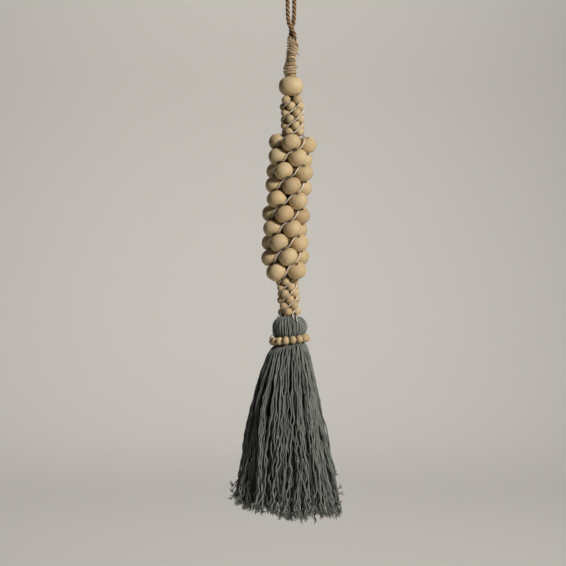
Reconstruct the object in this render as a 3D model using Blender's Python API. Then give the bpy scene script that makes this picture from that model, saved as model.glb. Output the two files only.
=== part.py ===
"""Beaded hanging tassel: a jute loop, a twine whipping, a bored top bead, a braided tube of
wooden beads in three stretches, a ring of beads and a skirt of cotton yarn.

Metres, +Z up. The origin is the point where the loop bears on whatever holds it: the underside
of the loop's crown. The front faces -Y, and +X is to the viewer's right.
"""

import math

import bmesh
import bpy
import numpy as np
from mathutils import Vector

MM = 0.001
GAP = 0.3 * MM

# ---------------------------------------------------------------- driving dimensions
LOOP_D = 4.4 * MM
CORD_D = 1.5 * MM

STRANDS = 4
# The braid, in three stretches. Columns: name, rows of beads, depth of the first row, pitch of
# the rows (mm), angle of the first row, turn per row (degrees), radius of the ring of bead
# centres, bead diameter, bead length along its bore (mm).
BRAID = (
    ("upper", 6, 150.2, 6.45, 43.0, 39.0, 8.0, 9.1, 7.6),
    ("large", 10, 193.8, 14.17, 264.0, 36.0, 14.4, 19.2, 15.8),
    ("lower", 6, 331.1, 6.15, 620.5, 36.0, 7.3, 8.8, 7.4),
)
# How far each row of the large stretch stands out from its ring radius (mm).
SWELL = {"large": (0.1, 0.1, 0.8, -0.2, 0.6, 0.0, 0.0, 0.9, 0.2, -0.3)}
LARGE_BORE_R = 2.6 * MM
# Where a strand's cord is centred in a large bead's bore, in half lengths: just outside the mouth
# where it meets small beads, and inside where it meets another large one.
MOUTH = 1.04
INSIDE = 0.9
BEAD_FULLNESS = 2.3  # exponent of a bead's outline: 2 is an ellipse, more is squarer

# The four cords that wind the other way, over the strands.
# Where they lie in the groove between two beads, in bead radii from each centre: in each stretch,
# and where a small bead meets a large one.
GROOVE = {"upper": 0.98, "large": 0.89, "lower": 0.93}
STEP_GROOVE = 1.03
# How far outside the ring of bead centres they dip between the beads of a row, in bead diameters.
DIP = {"upper": 0.06, "large": -0.02, "lower": 0.04}
CROSSING_FINENESS = 2  # steps along them from a groove to the dip below it
CORD_ROOM = 0.45 * MM  # between them and the beads that they wind over
PUSHES = 6  # rounds of moving them off the beads
# Above the first crossing. Columns: depth below it (mm), turn (degrees), radius (mm).
CROSSING_START = ((-5.4, 34, 4.8), (-3.2, 27, 6.2), (-1.6, 16, 8.9))
# Below the last crossing, one free end each. Columns: depth (mm), turn (degrees), radius (mm).
CROSSING_TAILS = (
    ((361.5, -27, 7.9), (364.3, -44, 9.9), (366.6, -48, 12.8), (368.9, -46, 15.1)),
    ((361.5, -27, 7.9), (364.2, -42, 10.4), (366.7, -72, 13.0), (368.6, -112, 14.9), (372.0, -126, 17.1)),
    ((361.5, -27, 7.9), (364.3, -44, 9.9), (366.6, -48, 12.8), (370.4, -44, 16.2)),
    ((361.5, -27, 7.9), (364.3, -44, 9.9), (366.4, -54, 12.8)),
)

TOP_BEAD_D = 24.4 * MM
TOP_BEAD_L = 20.4 * MM
TOP_BEAD_DEPTH = 136.3 * MM
TOP_BORE_R = 3.6 * MM

RING_BEADS = 15
RING_BEAD_D = 8.2 * MM
RING_BEAD_L = 6.4 * MM
RING_R = 16.75 * MM
RING_DEPTH = 389.7 * MM
RING_TILT = math.radians(6.3)
RING_START = math.radians(-84.8)  # the first bead, at the left of the front

# The centre line of everything under the whipping. Columns: depth (mm), sideways lean (mm).
LEAN = (
    (127.0, -0.8),
    (136.3, 0.0),
    (150.0, 0.8),
    (177.0, 1.8),
    (193.0, 1.7),
    (207.0, -0.3),
    (221.0, -1.2),
    (236.0, -2.3),
    (250.0, -3.8),
    (264.0, -5.0),
    (278.0, -5.7),
    (292.0, -6.0),
    (306.0, -5.9),
    (321.0, -4.8),
    (335.0, -3.4),
    (362.0, -1.5),
    (375.0, -1.2),
    (390.0, -1.4),
    (405.0, -2.6),
    (427.0, -3.4),
    (455.0, -4.2),
    (499.0, -4.7),
    (526.5, -4.5),
    (565.0, -4.6),
)

# The whipping's outline, and under it the gathered cords, which run down through the top bead and
# on down the middle of the braid to the yarn.
# Columns: depth, lean, radius (mm).
WHIPPING = (
    (89.0, 1.8, 4.7),
    (91.5, 1.9, 5.7),
    (96.0, 1.6, 5.8),
    (104.0, 0.4, 5.3),
    (112.0, -0.4, 5.3),
    (117.5, -1.2, 6.2),
    (123.5, -0.8, 6.0),
    (126.2, -0.6, 5.8),
    (125.8, 0.0, 3.2),
    (146.2, 0.0, 3.2),
    (147.4, 0.4, 1.5),
    (153.0, 1.0, 2.0),
    (165.0, 1.5, 2.2),
    (177.0, 1.8, 2.2),
    (193.0, 1.7, 2.6),
    (207.0, -0.3, 2.8),
    (221.0, -1.2, 2.8),
    (236.0, -2.3, 2.8),
    (250.0, -3.8, 2.8),
    (264.0, -5.0, 2.8),
    (278.0, -5.7, 2.8),
    (292.0, -6.0, 2.8),
    (306.0, -5.9, 2.8),
    (321.0, -4.8, 2.4),
    (335.0, -3.4, 1.8),
    (348.0, -2.3, 1.8),
    (366.0, -1.4, 1.8),
)

# The yarn's outline. Columns: depth, radius (mm), share of the ring's tilt, depth of flutes.
YARN = (
    (366.2, 5.0, 0.0, 0.0),
    (366.6, 9.3, 0.0, 0.0),
    (367.9, 12.2, 0.0, 0.0),
    (371.0, 15.0, 0.0, 0.0),
    (375.5, 17.1, 0.0, 0.0),
    (380.5, 17.1, 0.4, 0.0),
    (384.9, 15.4, 1.0, 0.0),
    (386.9, 12.8, 1.0, 0.0),
    (389.7, 12.0, 1.0, 0.0),
    (392.5, 12.8, 1.0, 0.0),
    (394.6, 15.8, 1.0, 0.0),
    (399.0, 19.6, 0.6, 0.01),
    (410.0, 23.8, 0.2, 0.02),
    (427.0, 28.9, 0.0, 0.03),
    (455.0, 34.8, 0.0, 0.04),
    (499.0, 43.6, 0.0, 0.05),
    (526.5, 48.8, 0.0, 0.06),
    (550.0, 52.6, 0.0, 0.08),
)
HEM_R = 53.5 * MM
HEM_DEPTH = 561.5 * MM
HEM_DIP = 3.0 * MM  # the front of the hem hangs this much lower than its middle
HEM_LEFT = 3.0 * MM  # its right side hangs this much lower, and its left side higher
HEM_JAG = 1.6 * MM
HEM_FLUTES = 0.08
YARN_SIDES = 42

# The loop's route: up from the whipping, round the crown, and down again. Columns: x, y, z (mm).
LOOP_ROUTE = (
    (3.9, -0.9, -88.2),
    (3.7, -1.2, -86.0),
    (2.7, -1.9, -83.0),
    (0.4, -2.35, -79.0),
    (-1.7, -1.7, -74.5),
    (-2.8, -0.5, -69.0),
    (-3.3, 0.0, -60.0),
    (-3.5, 0.0, -50.0),
    (-4.9, 0.0, -39.0),
    (-7.2, 0.0, -28.0),
    (-9.0, 0.0, -17.0),
    (-9.4, 0.0, -7.2),
    (-6.65, 0.0, -0.55),
    (0.0, 0.0, 2.2),
    (6.65, 0.0, -0.55),
    (9.4, 0.0, -7.2),
    (9.0, 0.0, -17.0),
    (7.2, 0.0, -28.0),
    (4.9, 0.0, -39.0),
    (3.4, 0.0, -50.0),
    (3.2, 0.0, -60.0),
    (2.8, 0.5, -69.0),
    (1.9, 1.7, -74.5),
    (0.2, 2.35, -79.0),
    (-0.2, 1.9, -83.0),
    (-0.3, 1.2, -86.0),
    (-0.5, 0.9, -88.2),
)
LOOP_POINTS = 44

# Name, colour, roughness.
FINISHES = {
    "wood": ((0.52, 0.37, 0.22), 0.55),
    "cotton_cord": ((0.76, 0.68, 0.55), 0.85),
    "jute_cord": ((0.30, 0.19, 0.10), 0.90),
    "jute_twine": ((0.40, 0.27, 0.15), 0.90),
    "cotton_yarn": ((0.14, 0.17, 0.16), 0.95),
}


# ---------------------------------------------------------------- curves
def smooth(rows, positions):
    """Values at the positions on smooth curves through the rows, whose first column rises."""
    rows = np.asarray(rows, float)
    at, values = rows[:, 0], rows[:, 1:]
    slopes = np.gradient(values, at, axis=0)
    positions = np.clip(np.atleast_1d(positions), at[0], at[-1])
    low = np.clip(np.searchsorted(at, positions, side="right") - 1, 0, len(at) - 2)
    span = (at[low + 1] - at[low])[:, None]
    t = (positions[:, None] - at[low][:, None]) / span
    return (
        (2 * t**3 - 3 * t**2 + 1) * values[low]
        + (t**3 - 2 * t**2 + t) * span * slopes[low]
        + (3 * t**2 - 2 * t**3) * values[low + 1]
        + (t**3 - t**2) * span * slopes[low + 1]
    )


def smooth_path(points, count):
    """The count points, evenly spaced, of a smooth curve through the given points."""
    points = np.asarray(points, float)
    steps = np.linalg.norm(np.diff(points, axis=0), axis=1)
    along = np.concatenate([[0], np.cumsum(steps)])
    return smooth(np.column_stack([along, points]), np.linspace(0, along[-1], count))


def lean_at(depth):
    return float(smooth(LEAN, depth / MM)[0, 0]) * MM


def on_braid(depth, angle, radius):
    """The point at this depth, turned this far to the right of the front, off the centre line."""
    step = 0.5 * MM
    lean, above, below = (lean_at(d) for d in (depth, depth - step, depth + step))
    slope = (above - below) / (2 * step)
    across = Vector((1, 0, -slope)).normalized()
    centre = Vector((lean, 0, -depth))
    return centre + radius * (math.sin(angle) * across - math.cos(angle) * Vector((0, 1, 0)))


# ---------------------------------------------------------------- solids
def finish(name):
    material = bpy.data.materials.get(name)
    if material is None:
        colour, roughness = FINISHES[name]
        material = bpy.data.materials.new(name)
        material.use_nodes = True
        shader = material.node_tree.nodes["Principled BSDF"]
        shader.inputs["Base Color"].default_value = (*colour, 1)
        shader.inputs["Roughness"].default_value = roughness
    return material


def add_object(name, data, material):
    piece = bpy.data.objects.new(name, data)
    piece.data.materials.append(finish(material))
    bpy.context.scene.collection.objects.link(piece)
    return piece


def add_rings(name, rings, material, closed=False):
    """A solid through rings of points. Open runs are capped; a closed one meets itself."""
    mesh = bmesh.new()
    loops = [[mesh.verts.new(point) for point in ring] for ring in rings]
    pairs = list(zip(loops, loops[1:] + loops[:1]))
    for one, other in pairs if closed else pairs[:-1]:
        for i in range(len(one)):
            j = (i + 1) % len(one)
            mesh.faces.new((one[i], one[j], other[j], other[i]))
    if not closed:
        mesh.faces.new(loops[0])
        mesh.faces.new(loops[-1])
    bmesh.ops.recalc_face_normals(mesh, faces=mesh.faces)
    data = bpy.data.meshes.new(name)
    mesh.to_mesh(data)
    mesh.free()
    data.shade_smooth()
    data.set_sharp_from_angle(angle=math.radians(50))
    return add_object(name, data, material)


def add_tube(name, centres, radii, sides, material):
    """A tube of changing radius along the centres, its rings turned as little as possible."""
    centres = [Vector(centre) for centre in centres]
    ahead = [
        (centres[min(i + 1, len(centres) - 1)] - centres[max(i - 1, 0)]).normalized()
        for i in range(len(centres))
    ]
    side = ahead[0].orthogonal().normalized()
    rings = []
    for centre, tangent, radius in zip(centres, ahead, radii):
        side = (side - side.dot(tangent) * tangent).normalized()
        up = tangent.cross(side)
        turns = [2 * math.pi * i / sides for i in range(sides)]
        rings.append([centre + radius * (math.cos(a) * side + math.sin(a) * up) for a in turns])
    return add_rings(name, rings, material)


def bead_width(share):
    """A bead's outline: its radius, as a share of the full one, this far along its half length."""
    return (1 - abs(share) ** BEAD_FULLNESS) ** (1 / BEAD_FULLNESS)


def add_bored_bead(name, centre, bore, diameter, length, bore_r, sides):
    """A turned bead with a hole through it, centred and pointing along the bore."""
    shares = (bead_width(bore_r / (diameter / 2)), 0.78, 0.3)
    half = [(bead_width(share) * diameter / 2, share * length / 2) for share in shares]
    half[0] = (bore_r, half[0][1])
    profile = half + [(width, -height) for width, height in reversed(half)]
    turns = [2 * math.pi * i / sides for i in range(sides)]
    rings = [[Vector((w * math.cos(a), w * math.sin(a), z)) for a in turns] for w, z in profile]
    piece = add_rings(name, rings, "wood", closed=True)
    piece.location = centre
    piece.rotation_mode = "QUATERNION"
    piece.rotation_quaternion = Vector(bore).to_track_quat("Z", "Y")
    return piece


# ---------------------------------------------------------------- the braid's lattice
def braid_rows():
    """One row of beads each: depth, angle on strand 0, ring radius, bead diameter and length."""
    rows = []
    for name, count, first, pitch, start, turn, radius, diameter, length in BRAID:
        swells = SWELL.get(name, (0.0,) * count)
        for i, swell in enumerate(swells):
            depth, angle = (first + pitch * i) * MM, math.radians(start + turn * i)
            size = (radius + swell) * MM, diameter * MM, length * MM
            rows.append((depth, angle, *size, name))
    return rows


ROWS = braid_rows()
QUARTER = 2 * math.pi / STRANDS


def strand_at(strand, place):
    """The point of a strand at a row number, whole at a bead and a fraction between two."""
    table = [(number, *row[:3]) for number, row in enumerate(ROWS)]
    depth, angle, radius = smooth(table, place)[0].tolist()
    return on_braid(depth, angle + QUARTER * strand, radius)


def bore_at(strand, place):
    """The way up a bead's bore: along the strand from the gap below it to the gap above."""
    above, below = max(place - 0.5, 0), min(place + 0.5, len(ROWS) - 1)
    return (strand_at(strand, above) - strand_at(strand, below)).normalized()


def bead_rings(diameter, length):
    """Height above its centre and radius of each ring that turns a small bead on its cord."""
    half, full = length / 2, diameter / 2
    shoulder = 0.66
    width = bead_width(shoulder) * full
    end = 0.2 * full
    return (half, end), (shoulder * half, width), (0, full), (-shoulder * half, width), (-half, end)


def add_strand(strand):
    """A cotton cord with its small beads, which also runs through a string of large ones."""
    centres, radii = [], []
    for number, (_, _, _, diameter, length, name) in enumerate(ROWS):
        centre, bore = strand_at(strand, number), bore_at(strand, number)
        if name == "large":
            upper = MOUTH if ROWS[number - 1][-1] != name else INSIDE
            lower = MOUTH if ROWS[number + 1][-1] != name else INSIDE
            rings = [(share * length / 2, CORD_D / 2) for share in (upper, -lower)]
        else:
            rings = bead_rings(diameter, length)
        centres += [centre + height * bore for height, _ in rings]
        radii += [radius for _, radius in rings]
    add_tube(f"bead_strand_{strand + 1}", centres, radii, 6, "wood")


def crossing(cord, number):
    """Depth, angle and radius where a crossing cord lies in the groove below this row's bead."""
    one, other = ROWS[number], ROWS[number + 1]
    clear = CORD_D / 2 + GAP
    groove = GROOVE[one[-1]] if one[-1] == other[-1] else STEP_GROOVE
    near, far = (groove * row[3] / 2 + clear for row in (one, other))
    flat = Vector((one[2], 0, -one[0])), Vector(
        (other[2] * math.cos(other[1] - one[1]), other[2] * math.sin(other[1] - one[1]), -other[0])
    )
    apart = flat[1] - flat[0]
    reach = (near**2 - far**2 + apart.length_squared) / (2 * apart.length)
    along = apart.normalized()
    outward = Vector((1, 0, 0)) - along.x * along
    place = flat[0] + reach * along + math.sqrt(near**2 - reach**2) * outward.normalized()
    turn = math.atan2(place.y, place.x) - QUARTER * (number - cord)
    return -place.z, one[1] + turn, math.hypot(place.x, place.y)


def pushed_out(points):
    """The points, moved until a cord through them clears every bead."""
    beads = [(number, strand) for number in range(len(ROWS)) for strand in range(STRANDS)]
    centres = np.array([strand_at(strand, number) for number, strand in beads])
    bores = np.array([bore_at(strand, number) for number, strand in beads])
    clear = CORD_D / 2 + CORD_ROOM
    across = np.array([ROWS[number][3] / 2 + clear for number, _ in beads])
    along = np.array([ROWS[number][4] / 2 + clear for number, _ in beads])
    for _ in range(PUSHES):
        for i, point in enumerate(points):
            offsets = point - centres
            rise = (offsets * bores).sum(1)
            wide = np.linalg.norm(offsets - rise[:, None] * bores, axis=1)
            power = BEAD_FULLNESS
            share = ((wide / across) ** power + (abs(rise) / along) ** power) ** (1 / power)
            nearest = share.argmin()
            if share[nearest] < 1:
                points[i] = centres[nearest] + offsets[nearest] / share[nearest]
    return points


def crossing_route(cord):
    """Points of a cord that winds against the strands, from the top bead to the yarn's dome."""
    last = len(ROWS) - 2
    grooves = [crossing(cord, number) for number in range(last + 1)]
    depth, angle, _ = grooves[0]
    knots = [(depth + rise * MM, angle + math.radians(turn), r * MM) for rise, turn, r in CROSSING_START]
    for number, row in enumerate(ROWS[1:-1], 1):
        knots.append(grooves[number - 1])
        knots.append((row[0], row[1] + QUARTER * (cord - number + 0.5), row[2] + DIP[row[-1]] * row[3]))
    knots.append(grooves[last])
    angle = grooves[last][1]
    knots += [(d * MM, angle + math.radians(turn), r * MM) for d, turn, r in CROSSING_TAILS[cord]]
    table = [(number, *on_braid(*knot)) for number, knot in enumerate(knots)]
    steps = (len(knots) - 1) * CROSSING_FINENESS
    return pushed_out(smooth(table, np.arange(steps + 1) / CROSSING_FINENESS))


# ---------------------------------------------------------------- the pieces
def add_loop():
    data = bpy.data.curves.new("hanging_loop", "CURVE")
    data.dimensions = "3D"
    data.bevel_depth = LOOP_D / 2
    data.bevel_resolution = 2
    data.use_fill_caps = True
    route = smooth_path(np.array(LOOP_ROUTE) * MM, LOOP_POINTS)
    spline = data.splines.new("POLY")
    spline.points.add(len(route) - 1)
    for point, place in zip(spline.points, route):
        point.co = (*place, 1)
    add_object("hanging_loop", data, "jute_cord")


def level_ring(x, depth, radius, sides):
    turns = [2 * math.pi * i / sides for i in range(sides)]
    return [Vector((x + radius * math.sin(a), -radius * math.cos(a), -depth)) for a in turns]


def add_whipping():
    rings = [level_ring(x * MM, depth * MM, r * MM, 12) for depth, x, r in WHIPPING]
    add_rings("whipping", rings, "jute_twine")


def add_bead_ring():
    """The ring's beads on their cord, which is knotted at the left."""
    step = 2 * math.pi / RING_BEADS
    centre_x = lean_at(RING_DEPTH)
    tilt = math.tan(RING_TILT)

    def on_ring(angle):
        x = RING_R * math.sin(angle)
        return Vector((centre_x + x, -RING_R * math.cos(angle), x * tilt - RING_DEPTH))

    centres, radii = [], []
    for bead in range(RING_BEADS):
        middle = RING_START + step * bead
        for height, radius in bead_rings(RING_BEAD_D, RING_BEAD_L):
            centres.append(on_ring(middle - height / RING_R))
            radii.append(radius)
    add_tube("bead_ring", centres, radii, 6, "wood")


def hem_depth(angle):
    """The hem hangs lowest in front and is ragged all round."""
    jag = math.sin(5 * angle + 1.0) + 0.7 * math.sin(11 * angle + 0.4)
    return HEM_DEPTH + HEM_DIP * math.cos(angle) + HEM_LEFT * math.sin(angle) + HEM_JAG * jag


def flute(angle):
    """From -1 in the gaps between locks of yarn to 1 on the locks."""
    return 0.5 * math.cos(12 * angle + 0.6) + 0.3 * math.cos(7 * angle + 2.1) + 0.2 * math.cos(
        19 * angle
    )


def add_yarn():
    rings = []
    for depth, radius, tilt, flutes in YARN:
        ring = []
        for i in range(YARN_SIDES):
            angle = 2 * math.pi * i / YARN_SIDES
            out = radius * MM * (1 + flutes * flute(angle))
            x = out * math.sin(angle)
            z = x * tilt * math.tan(RING_TILT) - depth * MM
            ring.append(Vector((lean_at(depth * MM) + x, -out * math.cos(angle), z)))
        rings.append(ring)
    x = lean_at(HEM_DEPTH)
    for share, rise in ((1.0, 0.0), (0.7, 2.0 * MM)):
        ring = []
        for i in range(YARN_SIDES):
            angle = 2 * math.pi * i / YARN_SIDES
            out = HEM_R * share * (1 + HEM_FLUTES * flute(angle))
            place = (x + out * math.sin(angle), -out * math.cos(angle), rise - hem_depth(angle))
            ring.append(Vector(place))
        rings.append(ring)
    add_rings("yarn_tassel", rings, "cotton_yarn")


def main():
    for piece in list(bpy.data.objects):
        bpy.data.objects.remove(piece)
    add_loop()
    add_whipping()
    up = Vector((0, 0, 1))
    top = Vector((0, 0, -TOP_BEAD_DEPTH))
    add_bored_bead("top_bead", top, up, TOP_BEAD_D, TOP_BEAD_L, TOP_BORE_R, 14)
    large = [number for number, row in enumerate(ROWS) if row[-1] == "large"]
    for strand in range(STRANDS):
        add_strand(strand)
        for order, number in enumerate(large, 1):
            _, _, _, diameter, length, _ = ROWS[number]
            name = f"large_bead_{order:02d}_{strand + 1}"
            centre, bore = strand_at(strand, number), bore_at(strand, number)
            add_bored_bead(name, centre, bore, diameter, length, LARGE_BORE_R, 8)
    for cord in range(STRANDS):
        route = crossing_route(cord)
        radii = [CORD_D / 2] * len(route)
        add_tube(f"crossing_cord_{cord + 1}", route, radii, 4, "cotton_cord")
    add_bead_ring()
    add_yarn()


main()
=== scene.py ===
"""Looks of a beaded hanging tassel: jute loop, twine whipping, wooden beads braided into a tube
on cotton cords, a ring of beads and a skirt of cotton yarn. Metres, +Z up, front towards -Y.
"""

import math

import bpy
import numpy as np
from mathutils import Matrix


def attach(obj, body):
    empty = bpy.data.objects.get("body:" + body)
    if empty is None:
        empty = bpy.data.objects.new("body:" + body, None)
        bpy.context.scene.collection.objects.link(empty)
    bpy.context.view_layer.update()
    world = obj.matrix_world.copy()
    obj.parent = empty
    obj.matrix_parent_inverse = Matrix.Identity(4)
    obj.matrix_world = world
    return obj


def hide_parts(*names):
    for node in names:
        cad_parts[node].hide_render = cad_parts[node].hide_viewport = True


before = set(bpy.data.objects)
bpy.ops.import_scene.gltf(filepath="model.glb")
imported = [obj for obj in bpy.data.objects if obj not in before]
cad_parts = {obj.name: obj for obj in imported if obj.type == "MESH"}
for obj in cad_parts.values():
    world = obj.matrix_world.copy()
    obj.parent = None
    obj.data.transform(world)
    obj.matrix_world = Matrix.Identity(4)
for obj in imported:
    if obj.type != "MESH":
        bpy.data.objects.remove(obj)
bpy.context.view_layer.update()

MM = 0.001
TURN = 2 * math.pi
RNG = np.random.default_rng(20)

# ---------------------------------------------------------------- driving dimensions
# As in the solids, but with finer cords, tighter bores and slightly longer large beads.
LOOP_D = 4.4 * MM
CORD_D = 1.35 * MM
STRANDS = 4
QUARTER = TURN / STRANDS
# Name, rows of beads, depth of the first, pitch (mm), first angle, turn per row (degrees), ring
# radius, bead diameter, bead length (mm).
BRAID = (
    ("upper", 6, 150.2, 6.45, 43.0, 39.0, 8.0, 9.1, 7.6),
    ("large", 10, 193.8, 14.17, 264.0, 36.0, 14.4, 19.2, 15.9),
    ("lower", 6, 331.1, 6.15, 620.5, 36.0, 7.3, 8.8, 7.4),
)
# How far each row stands out from its ring radius (mm).
SWELL = {"large": (0.1, 0.1, 0.8, -0.2, 0.6, 0.0, 0.0, 0.9, 0.2, -0.3)}
LARGE_BORE_R = 2.45 * MM
SMALL_BORE_R = 0.95 * MM
BEAD_FULLNESS = 2.3  # exponent of a bead's outline: 2 is an ellipse, more is squarer
# How a crossing cord lies: how far off a strand's middle it passes over it (mm), how far round the
# strand it hugs it (degrees), how far outside the bead centres it dips between (mm), half the length
# of its steep run there (mm), and how hard the beads squeeze it over a strand, which also sets its
# painted shade there.
CROSSING = {
    "upper": (1.8, 30, 2.0, 0.9, 0.2),
    "large": (2.2, 50, 2.2, 3.1, 1.0),
    "lower": (1.9, 30, 2.0, 1.0, 0.2),
}
CROSSING_SLANT = math.radians(6)  # how far round it goes in that half length
# How much thinner a crossing cord is where it is squeezed the hardest.
SQUEEZED = 0.4
# Above the first crossing: depth below it (mm), turn (degrees), radius (mm).
CROSSING_START = ((-7.4, 42, 2.0), (-5.0, 36, 2.6), (-3.2, 30, 4.0))
# Below the last crossing, one free end each: depth (mm), turn (degrees), radius (mm).
CROSSING_TAILS = (
    ((361.5, -27, 7.9), (364.3, -44, 9.9), (366.6, -48, 12.8), (368.9, -46, 15.1)),
    (
        (361.5, -27, 7.9),
        (363.6, -62, 9.2),
        (365.4, -104, 10.4),
        (367.6, -122, 13.2),
        (371.6, -126, 16.9),
    ),
    ((361.5, -27, 7.9), (364.3, -44, 9.9), (366.6, -48, 12.8), (370.4, -44, 16.2)),
    ((361.5, -27, 7.9), (364.3, -44, 9.9), (366.4, -54, 12.8)),
)
TOP_BEAD_D = 24.4 * MM
TOP_BEAD_L = 20.4 * MM
TOP_BEAD_DEPTH = 136.3 * MM
TOP_BORE_R = 3.6 * MM
RING_BEADS = 15
RING_BEAD_D = 8.2 * MM
RING_BEAD_L = 6.4 * MM
RING_R = 16.75 * MM
RING_DEPTH = 389.7 * MM
RING_TILT = math.radians(6.3)
RING_START = math.radians(-84.8)
# The ring cord's free end, up over its first bead: turn from it, distance out, rise (mm).
RING_TAIL = ((-0.21, 0.0, 0.0), (-0.2, 2.0, 3.0), (-0.1, 3.3, 4.0), (0.05, 2.2, 5.4), (0.15, 0.5, 6.9))
# The centre line under the whipping: depth, sideways lean (mm).
LEAN = (
    (127.0, -0.8),
    (136.3, 0.0),
    (150.0, 0.8),
    (177.0, 1.8),
    (193.0, 1.7),
    (207.0, -0.3),
    (221.0, -1.2),
    (236.0, -2.3),
    (250.0, -3.8),
    (264.0, -5.0),
    (278.0, -5.7),
    (292.0, -6.0),
    (306.0, -5.9),
    (321.0, -4.8),
    (335.0, -3.4),
    (362.0, -1.5),
    (375.0, -1.2),
    (390.0, -1.4),
    (405.0, -2.6),
    (427.0, -3.4),
    (455.0, -4.2),
    (499.0, -4.7),
    (526.5, -4.5),
    (565.0, -4.6),
)
# The whipping: depth, lean, radius (mm), slope of its turns from left to right.
WHIPPING = (
    (89.0, 1.8, 4.5, -0.75),
    (91.5, 1.9, 5.6, -0.75),
    (96.0, 1.6, 5.8, -0.7),
    (100.0, 1.0, 5.5, -0.45),
    (104.0, 0.4, 5.3, -0.15),
    (112.0, -0.4, 5.3, 0.0),
    (117.5, -1.2, 6.2, 0.06),
    (123.5, -0.8, 6.0, 0.12),
    (126.2, -0.6, 5.8, 0.15),
)
TWINE_D = 1.75 * MM
# From turn to turn of the twine: depth, pitch (mm).
TWINE_PITCH = ((89.0, 2.1), (99.0, 2.05), (103.0, 1.95), (114.0, 2.0), (117.5, 2.2), (126.2, 2.2))
# Four turns near the foot that lie over the others: depth (mm), slope, how far out (mm).
OVER_TURNS = ((117.9, 0.10, 0.8), (120.5, 0.14, 0.8), (122.8, 0.1, 0.65), (125.6, 0.02, 0.1))
# The twine's two free ends: x, y, z (mm).
TWINE_ENDS = (
    ((3.6, -3.4, -104.0), (5.6, -3.0, -103.4), (7.6, -2.4, -104.6), (8.6, -2.0, -106.6)),
    ((5.0, -1.5, -116.0), (6.3, -1.7, -116.6), (7.2, -1.8, -118.6)),
)
GATHERED_D = 1.9 * MM
# How far the gathered cords lie from their middle: depth, distance (mm).
GATHERED = (
    (86.5, 2.8),
    (123.0, 2.8),
    (127.0, 2.25),
    (145.5, 2.1),
    (147.5, 0.9),
    (153.0, 1.1),
    (170.0, 1.3),
    (195.0, 1.8),
    (315.0, 1.9),
    (330.0, 1.0),
    (366.0, 0.9),
)
# The yarn's outline: depth, radius (mm), share of the ring's tilt.
YARN = (
    (366.6, 2.5, 0.0),
    (366.4, 5.0, 0.0),
    (366.8, 9.3, 0.0),
    (367.9, 12.2, 0.0),
    (371.0, 15.0, 0.0),
    (375.5, 17.1, 0.0),
    (380.5, 17.1, 0.4),
    (384.9, 15.4, 1.0),
    (386.9, 12.9, 1.0),
    (389.7, 12.2, 1.0),
    (392.5, 12.9, 1.0),
    (394.6, 15.4, 1.0),
    (399.0, 19.0, 0.6),
    (410.0, 23.4, 0.2),
    (427.0, 28.7, 0.0),
    (455.0, 34.8, 0.0),
    (499.0, 43.6, 0.0),
    (526.5, 48.8, 0.0),
    (550.0, 52.0, 0.0),
    (575.0, 54.6, 0.0),
)
# The row of YARN, just above the neck, where the strands that don't cover the dome begin.
NECK_ROW = 8
HEM_DEPTH = 558.5 * MM
HEM_DIP = 6.5 * MM  # how much lower it hangs at the front
HEM_TILT = 4.0 * MM  # how much lower it hangs at the right, and higher at the left
HEM_JAG = 1.6 * MM
YARN_R = 0.73 * MM
# The layers of yarn, from the outside in. Columns: name, painted shade (lighter than the yarn's
# colour in the outer layers, darker further in), strands, share of the radius at the neck and at the
# hem, depths between which they come out to that share (mm), over the dome or not.
LAYERS = (
    ("dome_over", 1.18, 76, 1.00, 1.00, 392, 400, True),
    ("dome_under", 0.54, 76, 0.86, 0.97, 396, 430, True),
    ("outer", 1.1, 84, 0.72, 1.00, 405, 452, False),
    ("second", 0.5, 84, 0.62, 0.92, 400, 470, False),
    ("third", 0.38, 80, 0.52, 0.83, 400, 480, False),
    ("fourth", 0.3, 64, 0.42, 0.72, 400, 480, False),
    ("inner", 0.32, 64, 0.32, 0.60, 400, 480, False),
    ("middle", 0.3, 40, 0.20, 0.40, 400, 480, False),
)
# The locks that the strands gather into: how many, then for each its direction, how hard it
# pulls its strands together, how much lower it ends (mm), and its sway.
LOCKS = 27
LOCK_ANGLES = (np.arange(LOCKS) + RNG.uniform(-0.45, 0.45, LOCKS)) * TURN / LOCKS
LOCK_PULLS = RNG.uniform(0.3, 0.66, LOCKS)
LOCK_ENDS = RNG.normal(0, 1.6, LOCKS)
LOCK_WAVES = RNG.uniform(26, 48, LOCKS)
LOCK_PHASES = RNG.uniform(0, TURN, LOCKS)
# Ends that curl away from the skirt. Columns: start x, y, z, run sideways, drop, curl, radius (mm).
LOOSE_ENDS = (
    (-51.5, -8.0, -527.0, -9.0, 9.0, 3.2, 0.62),
    (-53.0, -3.0, -530.0, -7.0, 12.0, 2.2, 0.55),
    (-51.0, -14.0, -533.0, -9.5, 15.0, 1.6, 0.60),
    (43.0, -10.0, -529.0, 5.0, 9.5, 2.6, 0.62),
    (43.5, -4.0, -533.0, 5.5, 11.0, 2.0, 0.55),
    (42.5, -16.0, -538.0, 4.5, 14.0, 1.6, 0.60),
    (-26.5, -31.5, -477.0, 5.0, 4.0, 0.9, 0.40),
)
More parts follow.
